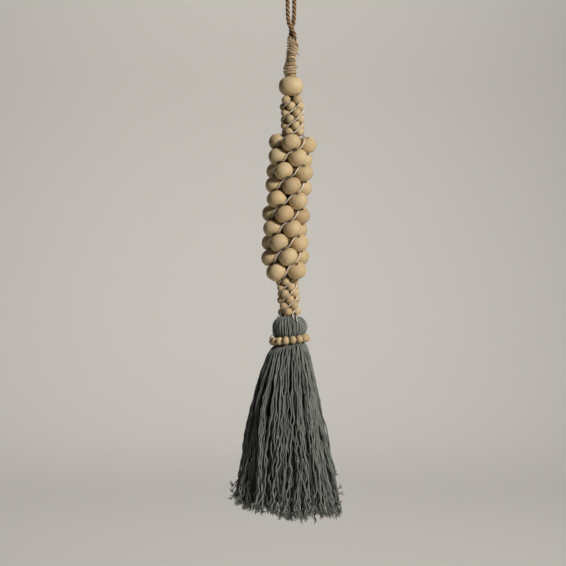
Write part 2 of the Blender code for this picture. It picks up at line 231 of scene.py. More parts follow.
# The loop's route, from one end in the whipping over the crown to the other: x, y, z (mm).
LOOP_ROUTE = (
    (3.9, -0.9, -88.2),
    (3.7, -1.2, -86.0),
    (2.7, -1.9, -83.0),
    (0.4, -2.35, -79.0),
    (-1.7, -1.7, -74.5),
    (-2.8, -0.5, -69.0),
    (-3.3, 0.0, -60.0),
    (-3.5, 0.0, -50.0),
    (-4.9, 0.0, -39.0),
    (-7.2, 0.0, -28.0),
    (-9.0, 0.0, -17.0),
    (-9.4, 0.0, -7.2),
    (-6.65, 0.0, -0.55),
    (0.0, 0.0, 2.2),
    (6.65, 0.0, -0.55),
    (9.4, 0.0, -7.2),
    (9.0, 0.0, -17.0),
    (7.2, 0.0, -28.0),
    (4.9, 0.0, -39.0),
    (3.4, 0.0, -50.0),
    (3.2, 0.0, -60.0),
    (2.8, 0.5, -69.0),
    (1.9, 1.7, -74.5),
    (0.2, 2.35, -79.0),
    (-0.2, 1.9, -83.0),
    (-0.3, 1.2, -86.0),
    (-0.5, 0.9, -88.2),
)


# ---------------------------------------------------------------- camera, light and backdrop
VIEW_CENTRE = (-0.008, -0.333)  # x, z
VIEW_WIDTH = 0.566
CAMERA_DISTANCE = 2.0
# The lamps: name, place, what it aims at, size, power, colour, spread (degrees).
MIDDLE = (0, 0, -0.32)
LAMPS = (
    ("key", (1.38, -1.5, 0.8), MIDDLE, 0.4, 11.6, (1.0, 0.965, 0.91), 90),
    ("backdrop_light", (0, 1.2, 2.3), (0, 3.2, -0.3), 1.6, 20.0, (1.0, 0.98, 0.95), 110),
    ("back", (-0.3, 1.3, 1.3), MIDDLE, 0.9, 2.6, (1.0, 0.98, 0.95), 90),
    ("fill", (-1.2, -2.0, 0.1), MIDDLE, 1.6, 0.05, (0.95, 0.97, 1.0), 180),
    ("rim", (1.3, 0.7, 0.5), MIDDLE, 0.6, 1.5, (1.0, 0.97, 0.92), 180),
)
SKY_STRENGTH = 0.006


def add_camera():
    """Level with the middle of the view, straight in front."""
    data = bpy.data.cameras.new("camera")
    camera = bpy.data.objects.new("camera", data)
    bpy.context.scene.collection.objects.link(camera)
    data.sensor_width = 36.0
    data.lens = data.sensor_width * CAMERA_DISTANCE / VIEW_WIDTH
    camera.location = (VIEW_CENTRE[0], -CAMERA_DISTANCE, VIEW_CENTRE[1])
    camera.rotation_euler = (math.radians(90), 0, 0)
    bpy.context.scene.camera = camera


def add_area_light(name, place, target, size, power, colour, spread):
    data = bpy.data.lights.new(name, "AREA")
    data.shape = "DISK"
    data.size = size
    data.energy = power
    data.color = colour
    data.spread = math.radians(spread)
    light = bpy.data.objects.new(name, data)
    bpy.context.scene.collection.objects.link(light)
    light.location = place
    aim = np.array(target) - np.array(place)
    flat = math.hypot(aim[0], aim[1])
    light.rotation_euler = (math.atan2(flat, -aim[2]), 0, math.atan2(-aim[0], aim[1]))


def add_surroundings():
    """A pale floor that curves up into a pale backdrop, a soft even sky, and the lamps."""
    world = bpy.data.worlds.new("world")
    bpy.context.scene.world = world
    world.use_nodes = True
    sky = world.node_tree.nodes["Background"]
    sky.inputs["Color"].default_value = (1.0, 0.99, 0.97, 1)
    sky.inputs["Strength"].default_value = SKY_STRENGTH
    floor_z, near, far, top, bend, half_width = -0.70, -6.0, 3.2, 3.6, 0.9, 6.0
    bend_steps = 16
    profile = [(near, floor_z), (far - bend, floor_z)]
    for i in range(1, bend_steps + 1):
        a = math.pi / 2 * i / bend_steps
        profile.append((far - bend + bend * math.sin(a), floor_z + bend * (1 - math.cos(a))))
    profile.append((far, top))
    points = [(x, y, z) for y, z in profile for x in (-half_width, half_width)]
    faces = [(2 * i, 2 * i + 1, 2 * i + 3, 2 * i + 2) for i in range(len(profile) - 1)]
    mesh = bpy.data.meshes.new("backdrop")
    mesh.from_pydata(points, [], faces)
    mesh.shade_smooth()
    material = bpy.data.materials.new("backdrop_paper")
    material.use_nodes = True
    shader = material.node_tree.nodes["Principled BSDF"]
    shader.inputs["Base Color"].default_value = (0.84, 0.82, 0.78, 1)
    shader.inputs["Roughness"].default_value = 0.9
    mesh.materials.append(material)
    backdrop = bpy.data.objects.new("backdrop", mesh)
    bpy.context.scene.collection.objects.link(backdrop)
    for lamp in LAMPS:
        add_area_light(*lamp)
    bpy.context.scene.view_settings.view_transform = "Standard"


# ---------------------------------------------------------------- curves
def smooth(rows, positions):
    """Values at the positions on smooth curves through the rows, whose first column rises."""
    rows = np.asarray(rows, float)
    at, values = rows[:, 0], rows[:, 1:]
    slopes = np.gradient(values, at, axis=0)
    positions = np.clip(np.atleast_1d(positions), at[0], at[-1])
    low = np.clip(np.searchsorted(at, positions, side="right") - 1, 0, len(at) - 2)
    span = (at[low + 1] - at[low])[..., None]
    t = (positions[..., None] - at[low][..., None]) / span
    return (
        (2 * t**3 - 3 * t**2 + 1) * values[low]
        + (t**3 - 2 * t**2 + t) * span * slopes[low]
        + (3 * t**2 - 2 * t**3) * values[low + 1]
        + (t**3 - t**2) * span * slopes[low + 1]
    )


def along(points):
    """Distance of each point from the first, along the line through them."""
    steps = np.linalg.norm(np.diff(points, axis=-2), axis=-1)
    return np.concatenate([np.zeros_like(steps[..., :1]), np.cumsum(steps, axis=-1)], axis=-1)


def smooth_path(points, spacing):
    """Evenly spaced points of a smooth curve through the given points."""
    points = np.asarray(points, float)
    at = along(points)
    fine = smooth(np.column_stack([at, points]), np.linspace(0, at[-1], 8 * len(points)))
    at = along(fine)
    count = max(4, round(at[-1] / spacing) + 1)
    places = np.linspace(0, at[-1], count)
    return np.column_stack([np.interp(places, at, fine[:, i]) for i in range(3)])


def ease(share):
    """0 to 1, gently at both ends."""
    share = np.clip(share, 0, 1)
    return share * share * (3 - 2 * share)


def unit(vectors):
    return vectors / np.linalg.norm(vectors, axis=-1, keepdims=True)


def lean_at(depth):
    return smooth(LEAN, np.asarray(depth, float) / MM)[..., 0] * MM


def on_braid(depth, angle, radius):
    """The point at this depth, turned this far to the right of the front, off the centre line."""
    step = 0.5 * MM
    lean, above, below = (float(lean_at(d)[0]) for d in (depth, depth - step, depth + step))
    slope = (above - below) / (2 * step)
    across = unit(np.array([1.0, 0.0, -slope]))
    out = math.sin(angle) * across - math.cos(angle) * np.array([0.0, 1.0, 0.0])
    return np.array([lean, 0.0, -depth]) + radius * out


# ---------------------------------------------------------------- meshes
def add_piece(name, parts, finish, replaces=()):
    """One object from parts, each (points, triangles, {attribute: values at the points})."""
    start, points, faces = 0, [], []
    for part_points, part_faces, _ in parts:
        points.append(part_points.reshape(-1, 3))
        faces.append(part_faces + start)
        start += len(points[-1])
    mesh = bpy.data.meshes.new(name)
    mesh.from_pydata(np.concatenate(points), [], np.concatenate(faces))
    for label in parts[0][2]:
        values = np.concatenate([part[2][label] for part in parts]).astype(np.float32)
        kind = "FLOAT" if values.ndim == 1 else "FLOAT_VECTOR"
        attribute = mesh.attributes.new(label, kind, "POINT")
        attribute.data.foreach_set("value" if kind == "FLOAT" else "vector", values.ravel())
    mesh.shade_smooth()
    mesh.materials.append(MATERIALS[finish])
    piece = bpy.data.objects.new(name, mesh)
    bpy.context.scene.collection.objects.link(piece)
    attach(piece, "root")
    if replaces:
        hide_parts(*replaces)
    return piece


def frames(paths):
    """Side and up of each path's points, turned as little as possible along it."""
    ahead = unit(np.gradient(paths, axis=1))
    side = np.empty_like(paths)
    side[:, 0] = unit(np.cross(ahead[:, 0], unit(np.array([0.83, 0.47, 0.31]))))
    for i in range(1, paths.shape[1]):
        flat = side[:, i - 1] - (side[:, i - 1] * ahead[:, i]).sum(1, keepdims=True) * ahead[:, i]
        side[:, i] = unit(flat)
    return side, np.cross(ahead, side)


def lobed(plies, sides, offset=0.5):
    """Outline of a cord of this many plies: how far out each side is, in cord radii."""
    turns = np.arange(sides) * TURN / sides
    near = (turns + math.pi / plies) % (TURN / plies) - math.pi / plies
    return offset * np.cos(near) + np.sqrt((1 - offset) ** 2 - (offset * np.sin(near)) ** 2)


def tubes(paths, radii, section, pitch=None, tints_and_shades=None, groove_shade=0.5, painted_shades=1.0):
    """Closed tubes along the paths (number, points, 3), with radii (number, points).

    The grooves between plies get painted shade down to the groove share, and each point is
    scaled by its painted shade.
    """
    number, count, _ = paths.shape
    sides = len(section)
    side, up = frames(paths)
    distance = along(paths)
    turns = np.broadcast_to(np.arange(sides) * TURN / sides, (number, count, sides))
    if pitch:
        turns = turns + (distance * TURN / pitch)[..., None]
    out = np.cos(turns)[..., None] * side[:, :, None] + np.sin(turns)[..., None] * up[:, :, None]
    rings = paths[:, :, None] + (radii[..., None] * section)[..., None] * out
    ends = np.stack([paths[:, 0], paths[:, -1]], axis=1)
    points = np.concatenate([rings.reshape(number, -1, 3), ends], axis=1)
    ring, corner = np.meshgrid(np.arange(count - 1), np.arange(sides), indexing="ij")
    one = ring * sides + corner
    two = ring * sides + (corner + 1) % sides
    walls = np.stack([one, two, two + sides, one, two + sides, one + sides], axis=-1).reshape(-1, 3)
    corner = np.arange(sides)
    after = (corner + 1) % sides
    last = (count - 1) * sides
    top = np.stack([np.full(sides, count * sides), after, corner], axis=-1)
    bottom = np.stack([np.full(sides, count * sides + 1), last + corner, last + after], axis=-1)
    faces = np.concatenate([walls, top, bottom])
    per = count * sides + 2
    faces = (faces[None] + per * np.arange(number)[:, None, None]).reshape(-1, 3)
    starts = RNG.uniform(0, 5, number)
    where = np.concatenate([np.repeat(distance, sides, axis=1), distance[:, [0, -1]]], axis=1)
    angle = np.tile(np.arange(sides) * TURN / sides, count)
    angle = np.concatenate([angle, [0.0, 0.0]])
    thread = np.empty((number, per, 3))
    thread[..., 0] = np.cos(angle)
    thread[..., 1] = np.sin(angle)
    thread[..., 2] = where + starts[:, None]
    if tints_and_shades is None:
        tints_and_shades = RNG.uniform(0.9, 1.1, number)
    relief = np.ptp(section)
    height = (section - section.min()) / relief if relief else section
    # Painted shade: darker towards the valleys between plies, then scaled along the tube by its painted
    # shades.
    painted_shade = np.tile(groove_shade + (1 - groove_shade) * height**2.5, (count, 1))
    painted_shade = painted_shade * np.broadcast_to(painted_shades, count)[:, None]
    painted_shade = np.append(painted_shade.ravel(), [1.0, 1.0])
    extras = {"thread": thread.reshape(-1, 3), "tint": (tints_and_shades[:, None] * painted_shade).ravel()}
    return points.reshape(-1, 3), faces, extras


# A plied cord along the route, with painted shade in the grooves between its plies.
def cord(route, diameter, plies, sides, pitch, spacing, tints_and_shades=None, groove_shade=0.5):
    path = smooth_path(route, spacing)[None]
    radii = np.full(path.shape[:2], diameter / 2)
    return tubes(path, radii, lobed(plies, sides), pitch, tints_and_shades, groove_shade)


def bead(centre, axis, diameter, length, bore_r, around, steps):
    """A turned bead with a bore whose edges are rounded, and the grain of its own piece of wood."""
    full, half = diameter / 2, length / 2
    power = 2 / BEAD_FULLNESS
    rim = bore_r + 0.035 * diameter
    last = math.acos((rim / full) ** (1 / power))
    turns = np.linspace(-last, last, steps)
    width = full * np.cos(turns) ** power
    height = half * np.sign(turns) * abs(np.sin(turns)) ** power
    edge = height[-1]
    drop = 0.03 * diameter
    inner = (
        (rim - 0.6 * (rim - bore_r), edge - 0.2 * drop),
        (bore_r, edge - drop),
        (bore_r, edge - 3 * drop),
    )
    width = np.concatenate([width, [w for w, _ in inner], [w for w, _ in reversed(inner)]])
    height = np.concatenate([height, [z for _, z in inner], [-z for _, z in reversed(inner)]])
    count = len(width)
    spin = np.arange(around) * TURN / around
    local = np.empty((count, around, 3))
    local[..., 0] = width[:, None] * np.cos(spin)
    local[..., 1] = width[:, None] * np.sin(spin)
    local[..., 2] = height[:, None]
    local = local.reshape(-1, 3)
    axis = unit(np.asarray(axis, float))
    side = unit(np.cross(axis, (0.31, 0.83, 0.47)))
    turned = np.stack([side, np.cross(axis, side), axis])
    points = local @ turned + np.asarray(centre)
    ring, corner = np.meshgrid(np.arange(count), np.arange(around), indexing="ij")
    one, two = ring * around + corner, ring * around + (corner + 1) % around
    below = (ring + 1) % count * around
    three, four = below + (corner + 1) % around, below + corner
    faces = np.stack([one, two, three, one, three, four], axis=-1).reshape(-1, 3)
    wood_axis = unit(np.array([RNG.normal(0, 0.5), RNG.normal(0, 0.5), 1.0]))
    across = unit(np.cross(wood_axis, RNG.normal(size=3)))
    wood = np.stack([across, np.cross(wood_axis, across), wood_axis])
    grain = local @ wood.T + RNG.uniform(-1, 1, 3) * 0.5
    tint = np.full(len(points), RNG.normal(1.0, 0.075))
    warmth = np.full(len(points), 0.75 * RNG.uniform(0, 1) ** 2.2)
    return points, faces, {"grain": grain, "tint": tint, "warmth": warmth}


# ---------------------------------------------------------------- materials
class Nodes:
    """A material's nodes, each added with its settings and its links in one call."""

    def __init__(self, name):
        self.material = bpy.data.materials.new(name)
        self.material.use_nodes = True
        self.tree = self.material.node_tree
        self.shader = self.tree.nodes["Principled BSDF"]

    def add(self, kind, settings=(), **links):
        node = self.tree.nodes.new("ShaderNode" + kind)
        for key, value in dict(settings).items():
            setattr(node, key, value)
        for key, value in links.items():
            self.set(node.inputs[int(key[1:])] if key[1:].isdigit() else node.inputs[key], value)
        return node

    def set(self, socket, value):
        if isinstance(value, bpy.types.NodeSocket):
            self.tree.links.new(value, socket)
        else:
            socket.default_value = value

    def attribute(self, name, output="Fac"):
        return self.add("Attribute", {"attribute_name": name}).outputs[output]

    def math(self, operation, *values):
        links = {f"_{i}": value for i, value in enumerate(values)}
        return self.add("Math", {"operation": operation}, **links).outputs[0]

    def stretched(self, vector, scale):
        node = self.add("VectorMath", {"operation": "MULTIPLY"}, _0=vector, _1=scale)
        return node.outputs["Vector"]

    def noise(self, vector, scale, detail=2.0, rough=0.5):
        node = self.add("TexNoise", _0=vector)
        node.inputs["Scale"].default_value = scale
        node.inputs["Detail"].default_value = detail
        node.inputs["Roughness"].default_value = rough
        return node.outputs["Fac"]

    def ramp(self, value, *stops):
        node = self.add("ValToRGB", Fac=value)
        band = node.color_ramp.elements
        while len(band) < len(stops):
            band.new(0.5)
        for element, (position, colour) in zip(band, stops):
            element.position = position
            element.color = (*colour, 1)
        return node.outputs["Color"]

    def scaled(self, colour, value):
        """The colour with its brightness times the value."""
        node = self.add("HueSaturation", Color=colour, Value=value)
        return node.outputs["Color"]

    def bump(self, height, strength, distance, under=None):
        node = self.add("Bump", Height=height)
        node.inputs["Strength"].default_value = strength
        node.inputs["Distance"].default_value = distance
        if under is not None:
            self.tree.links.new(under, node.inputs["Normal"])
        return node.outputs["Normal"]


# The wood, in its plain and its warmer shade, at three shares of its figure.
WOOD_STOPS = (0.22, 0.56, 0.9)
WOOD_PALE = ((0.43, 0.305, 0.15), (0.63, 0.485, 0.275), (0.71, 0.57, 0.355))
WOOD_TAN = ((0.36, 0.22, 0.10), (0.53, 0.36, 0.19), (0.61, 0.44, 0.255))


def wood_material():
    n = Nodes("wood")
    grain = n.attribute("grain", "Vector")
    long = n.stretched(grain, (1.0, 1.0, 0.12))
    wave = n.add("TexWave", {"wave_type": "BANDS", "bands_direction": "X"}, _0=long)
    wave.inputs["Scale"].default_value = 190
    wave.inputs["Distortion"].default_value = 5.0
    wave.inputs["Detail"].default_value = 2.0
    wave.inputs["Detail Scale"].default_value = 1.2
    fibres = n.noise(n.stretched(grain, (1.0, 1.0, 0.06)), 2600, 3.0, 0.6)
    patches = n.noise(grain, 90, 2.0)
    share = n.math("MULTIPLY_ADD", wave.outputs["Fac"], 0.15, n.math("MULTIPLY", fibres, 0.5))
    share = n.math("MULTIPLY_ADD", patches, 0.55, share)
    pale = n.ramp(share, *zip(WOOD_STOPS, WOOD_PALE))
    tan = n.ramp(share, *zip(WOOD_STOPS, WOOD_TAN))
    mix = n.add("MixRGB", {"blend_type": "MIX"}, Fac=n.attribute("warmth"), Color1=pale, Color2=tan)
    n.set(n.shader.inputs["Base Color"], n.scaled(mix.outputs[0], n.attribute("tint")))
    rough = n.math("MULTIPLY_ADD", fibres, 0.22, 0.50)
    n.shader.inputs["Specular IOR Level"].default_value = 0.3
    n.set(n.shader.inputs["Roughness"], rough)
    n.set(n.shader.inputs["Normal"], n.bump(share, 0.4, 0.0001))
    return n.material


def thread_material(name, colours, pitch, plies, groove_shade, depth, sheen):
    """A spun thread: fibres, plies wound at this pitch with painted shade, and each piece's tint."""
    n = Nodes(name)
    thread = n.attribute("thread", "Vector")
    parts = n.add("SeparateXYZ", _0=thread)
    phase = n.math("MULTIPLY", parts.outputs["Z"], TURN / (pitch * MM))
    cosine = n.math("MULTIPLY", parts.outputs["X"], n.math("COSINE", phase))
    sine = n.math("MULTIPLY", parts.outputs["Y"], n.math("SINE", phase))
    wound = n.math("ABSOLUTE", n.math("SUBTRACT", cosine, sine))
    fibres = n.noise(n.stretched(thread, (0.0012, 0.0012, 0.10)), 2400, 3.0, 0.65)
    slubs = n.noise(n.stretched(thread, (0.001, 0.001, 1.0)), 110, 2.0)
    share = n.math("MULTIPLY_ADD", fibres, 0.75, n.math("MULTIPLY", slubs, 0.35))
    # Painted light and shade: the plies lighter on their crests and darker in the grooves between them.
    if plies > 1:
        share = n.math("MULTIPLY_ADD", wound, groove_shade, share)
        share = n.math("SUBTRACT", share, groove_shade * 0.6)
    colour = n.ramp(share, *zip((0.30, 0.55, 0.82), colours))
    n.set(n.shader.inputs["Base Color"], n.scaled(colour, n.attribute("tint")))
    n.shader.inputs["Roughness"].default_value = 0.92
    n.shader.inputs["Specular IOR Level"].default_value = 0.25
    n.shader.inputs["Sheen Weight"].default_value = sheen
    n.shader.inputs["Sheen Roughness"].default_value = 0.5
    normal = n.bump(fibres, 0.5, depth * MM * 0.5)
    if plies > 1:
        normal = n.bump(wound, 0.8, depth * MM, normal)
    n.set(n.shader.inputs["Normal"], normal)
    return n.material


# Threads: dark, middle and light colour, then pitch of the plies (mm), plies, how much painted
# shade darkens the grooves between them and painted light brightens their crests, how deep the
# grooves are (mm), and sheen.
THREADS = {
    "cotton_cord": ((0.66, 0.58, 0.46), (0.86, 0.80, 0.69), (0.93, 0.89, 0.81), (5, 1, 0, 0.05, 0.0)),
    "jute_cord": ((0.17, 0.085, 0.033), (0.37, 0.225, 0.115), (0.60, 0.43, 0.26), (9, 1, 0, 0.12, 0.0)),
    "jute_twine": ((0.27, 0.175, 0.085), (0.56, 0.41, 0.24), (0.80, 0.64, 0.43), (4, 2, 0.3, 0.1, 0.0)),
    "cotton_yarn": (
        (0.075, 0.083, 0.077),
        (0.165, 0.179, 0.163),
        (0.28, 0.295, 0.268),
        (4.6, 2, 0.28, 0.14, 0.15),
    ),
}
MATERIALS = {"wood": wood_material()}
for thread_name, (*colours, spin) in THREADS.items():
    MATERIALS[thread_name] = thread_material(thread_name, colours, *spin)


# ---------------------------------------------------------------- the loop and the whipping
def add_loop():
    route = smooth_path(np.array(LOOP_ROUTE) * MM, 0.45 * MM)
    # Painted light and shade: the plies brightened to 1.35 times the jute's colour, and the grooves
    # between them darkened almost to black (0.02).
    part = cord(route, LOOP_D, 3, 18, -14 * MM, 0.5 * MM, np.array([1.35]), 0.02)
    loop = add_piece("jute_loop", [part], "jute_cord", ["hanging_loop"])
    fibres = stray_fibres(route, LOOP_D / 2, 150, (2.0, 7.0), 0.055 * MM)
    fuzz = add_piece("loop_fibres", [fibres], "jute_cord")


def stray_fibres(route, radius, count, lengths, thickness):
    """Short fibres that stand off a cord, mostly along it."""
    places = RNG.integers(2, len(route) - 2, count)
    ahead = unit(route[places + 1] - route[places - 1]) * RNG.choice([-1, 1], count)[:, None]
    out = RNG.normal(size=(count, 3))
    out = unit(out - (out * ahead).sum(1, keepdims=True) * ahead)
    twist = np.cross(ahead, out)
    long = RNG.uniform(*lengths, count)[:, None] * MM
    share = np.linspace(0, 1, 6)[None, :, None]
    rise = RNG.uniform(0.12, 0.42, count)[:, None]
    start = route[places] + out * radius * 0.55
    paths = (
        start[:, None]
        + share * (ahead * long)[:, None]
        + (share**1.5) * (out * rise * long)[:, None]
        + np.sin(share * 3.0) * (twist * long * RNG.normal(0, 0.16, (count, 1)))[:, None]
    )
    radii = thickness * (1 - 0.6 * share[..., 0]) * np.ones((count, 1))
    return tubes(paths, radii, np.ones(3))


def add_whipping():
    """One length of twine, wound down the gathered cords in turns that level out below."""
    table = np.array(WHIPPING)
    top, bottom = table[0, 0], table[-1, 0]
    depth = np.linspace(top, bottom, 1900)
    pitch = smooth(TWINE_PITCH, depth)[:, 0]
    turns = np.concatenate([[0], np.cumsum(np.diff(depth) / pitch[1:])])
    each = np.arange(int(turns[-1]) + 2)
    wobble = np.interp(turns, each, RNG.normal(0, 0.2, len(each)))
    slip = np.interp(turns, each, RNG.normal(0, 0.26, len(each)))
    lean, radius, slope = smooth(table, depth).T
    angle = TURN * turns + 1.0
    out = radius + wobble - TWINE_D / MM / 2
    x = out * np.sin(angle)
    route = np.column_stack([lean + x, -out * np.cos(angle), slope * x - depth - slip]) * MM
    section = lobed(2, 10, 0.4)
    radii = np.full((1, len(depth)), TWINE_D / 2)
    part = tubes(route[None], radii, section, 3.4 * MM, np.array([1.0]), 0.6)
    # Painted light and shade: the twine is darker where it sinks towards the cords and lighter where it
    # stands out, and the turns below 116.5 mm are darkened further as painted shade; the mottle itself
    # is a random tone per turn.
    rings = part[0][:-2].reshape(len(depth), -1, 3) / MM
    proud = np.hypot(rings[..., 0] - lean[:, None], rings[..., 1]) - out[:, None]
    mottle_and_shade = np.random.default_rng(7).uniform(0.85, 1.85, 3 * len(each))
    mottle_and_shade = np.interp(3 * turns, np.arange(len(mottle_and_shade)), mottle_and_shade) * (1 - 0.6 * (depth > 116.5))
    painted_light = 0.05 + 1.5 * ease(proud * MM / TWINE_D + 0.35)
    part[2]["tint"][:-2] *= (mottle_and_shade[:, None] * painted_light).ravel()
    parts = [part, bundle()]
    for depth_mm, tilt, grow in OVER_TURNS:
        lean, radius, _ = smooth(table, depth_mm)[0]
        angle = np.linspace(-0.4, TURN - 0.1, 30)
        out = (radius + grow) * MM - TWINE_D / 2
        x = out * np.sin(angle)
        over = np.column_stack([lean * MM + x, -out * np.cos(angle), tilt * x - depth_mm * MM])
        over[:3, :2] *= 0.93
        over[-3:, :2] *= 0.93
        parts.append(tubes(over[None], np.full((1, len(over)), TWINE_D / 2), np.ones(8)))
    add_piece("twine_whipping", parts, "jute_twine", ["whipping"])
    tails = [cord(np.array(end) * MM, 0.9 * MM, 2, 8, 3 * MM, 0.4 * MM) for end in TWINE_ENDS]
    route = smooth_path(np.column_stack([table[:, 1], 0 * table[:, 0], -table[:, 0]]) * MM, 0.5 * MM)
    tails.append(stray_fibres(route, 9.0 * MM, 110, (1.5, 5.0), 0.05 * MM))
    add_piece("whipping_ends", tails, "jute_twine")


def bundle():
    """The gathered cords, from inside the whipping down through the top bead and the braid."""
    depth = np.linspace(86.5, 366.0, 110)
    table = np.array(WHIPPING)
    whipped = np.interp(depth, table[:, 0], table[:, 1])
    lean = whipped * (1 - ease((depth - 122) / 8)) + (depth > 136.3) * lean_at(depth * MM) / MM
    away = smooth(GATHERED, depth)[:, 0]
    paths = []
    around = 6
    for i in range(around + 1):  # the last one lies in the middle
        turn = TURN * i / around + 0.03 * (depth - depth[0])
        out = away if i < around else 0 * away
        paths.append(np.column_stack([lean + out * np.sin(turn), -out * np.cos(turn), -depth]) * MM)
    paths = np.array(paths)
    radii = np.full(paths.shape[:2], GATHERED_D / 2)
    # Painted shade: the gathered cords are darkened to 0.3 of the twine's colour, as the shade inside
    # the whipping and the braid.
    return tubes(paths, radii, np.ones(8), tints_and_shades=np.full(around + 1, 0.3))


# ---------------------------------------------------------------- the braid
def braid_rows():
    """One row of beads each: depth, angle on strand 0, ring radius, bead diameter and length."""
    rows = []
    for name, count, first, pitch, start, turn, radius, diameter, length in BRAID:
        for i, swell in enumerate(SWELL.get(name, (0.0,) * count)):
            depth, angle = (first + pitch * i) * MM, math.radians(start + turn * i)
            rows.append((depth, angle, (radius + swell) * MM, diameter * MM, length * MM, name))
    return rows


ROWS = braid_rows()
ROW_TABLE = np.array([(number, *row[:3]) for number, row in enumerate(ROWS)])


def strand_at(strand, place):
    """The point of a strand at a row number, whole at a bead and a fraction between two."""
    depth, angle, radius = smooth(ROW_TABLE, place)[0]
    return on_braid(float(depth), float(angle) + QUARTER * strand, float(radius))


def bore_at(strand, place):
    """The way up a bead's bore: along the strand from the gap below it to the gap above."""
    above, below = max(place - 0.5, 0), min(place + 0.5, len(ROWS) - 1)
    return unit(strand_at(strand, above) - strand_at(strand, below))


BEADS = [(number, strand) for number in range(len(ROWS)) for strand in range(STRANDS)]
BEAD_CENTRES = np.array([strand_at(strand, number) for number, strand in BEADS])
BEAD_BORES = np.array([bore_at(strand, number) for number, strand in BEADS])
BEAD_WIDE = np.array([ROWS[number][3] / 2 for number, _ in BEADS])
BEAD_LONG = np.array([ROWS[number][4] / 2 for number, _ in BEADS])


def pushed_out(points, clearances):
    """The points, moved off any bead that they are nearer to than their clearance."""
    moved = points.copy()
    for i, (point, clear) in enumerate(zip(points, clearances)):
        offsets = point - BEAD_CENTRES
        rise = (offsets * BEAD_BORES).sum(1)
        wide = np.linalg.norm(offsets - rise[:, None] * BEAD_BORES, axis=1)
        share = (wide / (BEAD_WIDE + clear)) ** BEAD_FULLNESS
        share = (share + (abs(rise) / (BEAD_LONG + clear)) ** BEAD_FULLNESS) ** (1 / BEAD_FULLNESS)
        nearest = share.argmin()
        if share[nearest] < 1:
            moved[i] = BEAD_CENTRES[nearest] + offsets[nearest] / share[nearest]
    return moved


def over_strand(cord_number, number):
    """Points of a crossing cord over a strand, below this row's bead, and its squeeze there."""
    strand = cord_number - number
    one, other = strand_at(strand, number), strand_at(strand, number + 1)
    above, below = ROWS[number], ROWS[number + 1]
    middle = one + (other - one) * above[4] / (above[4] + below[4])
    down = unit(other - one)
    outward = middle - np.array([float(lean_at(-middle[2])[0]), 0, middle[2]])
    outward = unit(outward - (outward @ down) * down)
    heading = np.cross(down, outward)
    radius, wrap, _, _, squeeze = CROSSING[below[-1] if above[-1] != "large" else above[-1]]
    turns = [0] if above[-1] != below[-1] else [-math.radians(wrap), 0, math.radians(wrap)]
    points = [middle + radius * MM * (math.cos(a) * outward + math.sin(a) * heading) for a in turns]
    return points, [squeeze * (1 - 0.4 * bool(a)) for a in turns]


def crossing_route(cord_number):
    """A cord that winds against the strands, pulled down into the gaps between their beads.

    Returns its points, and how far it is squeezed at each, from 0 between strands to 1 over one.
    """
    last = len(ROWS) - 2
    grooves = [over_strand(cord_number, number) for number in range(last + 1)]
    first, end = (grooves[i][0][len(grooves[i][0]) // 2] for i in (0, last))
    points = []
    squeeze = [0.9] * len(CROSSING_START)
    for rise, turn, radius in CROSSING_START:
        depth = -first[2] + rise * MM
        points.append(on_braid(depth, angle_of(first) + math.radians(turn), radius * MM))
    for number, row in enumerate(ROWS[1:-1], 1):
        points += grooves[number - 1][0]
        squeeze += grooves[number - 1][1]
        turn = QUARTER * (cord_number - number + 0.5)
        _, _, dip, run, _ = CROSSING[row[-1]]
        for side in (-1, 1):
            depth, angle = row[0] + side * run * MM, row[1] + turn - side * CROSSING_SLANT
            points.append(on_braid(depth, angle, row[2] + dip * MM))
        squeeze += [0.0, 0.0]
    points += grooves[last][0]
    squeeze += [*grooves[last][1], *[0.0] * len(CROSSING_TAILS[cord_number])]
    held = len(points)
    for depth, turn, radius in CROSSING_TAILS[cord_number]:
        points.append(on_braid(depth * MM, angle_of(end) + math.radians(turn), radius * MM))
    fineness = 5
    table = np.column_stack([np.arange(len(points)), points, squeeze])
    table = smooth(table, np.arange((len(table) - 1) * fineness + 1) / fineness)
    points, squeeze = table[:, :3], np.clip(table[:, 3], 0, 1)
    clearances = CORD_D / 2 * (1 - SQUEEZED * squeeze)
    held *= fineness
    for _ in range(10):
        points = pushed_out(points, clearances + 0.03 * MM)
        middle = (points[:-2] + points[2:]) / 2
        points[1:held] += 0.12 * (middle[: held - 1] - points[1:held])
    return pushed_out(points, clearances), squeeze


def crossing_part(cord_number):
    """The cord itself, thinner where it is squeezed, with painted shade deep in a groove."""
    route, squeeze = crossing_route(cord_number)
    path = smooth_path(route, 0.6 * MM)
    at, places = along(route), along(path)
    squeeze = np.interp(places / places[-1], at / at[-1], squeeze)
    radii = CORD_D / 2 * (1 - SQUEEZED * squeeze)
    # Painted light and shade: up to 1.34 times the cotton's colour where the cord runs free, darkening
    # to 0.1 where it is squeezed deep into a groove.
    painted_shades = 1.34 - 1.24 * ease(1.15 * squeeze)
    return tubes(path[None], radii[None], lobed(2, 10), 4.2 * MM, np.array([1.0]), 0.6, painted_shades)


def angle_of(point):
    """How far the point is turned to the right of the front."""
    return math.atan2(point[0] - float(lean_at(-point[2])[0]), -point[1])


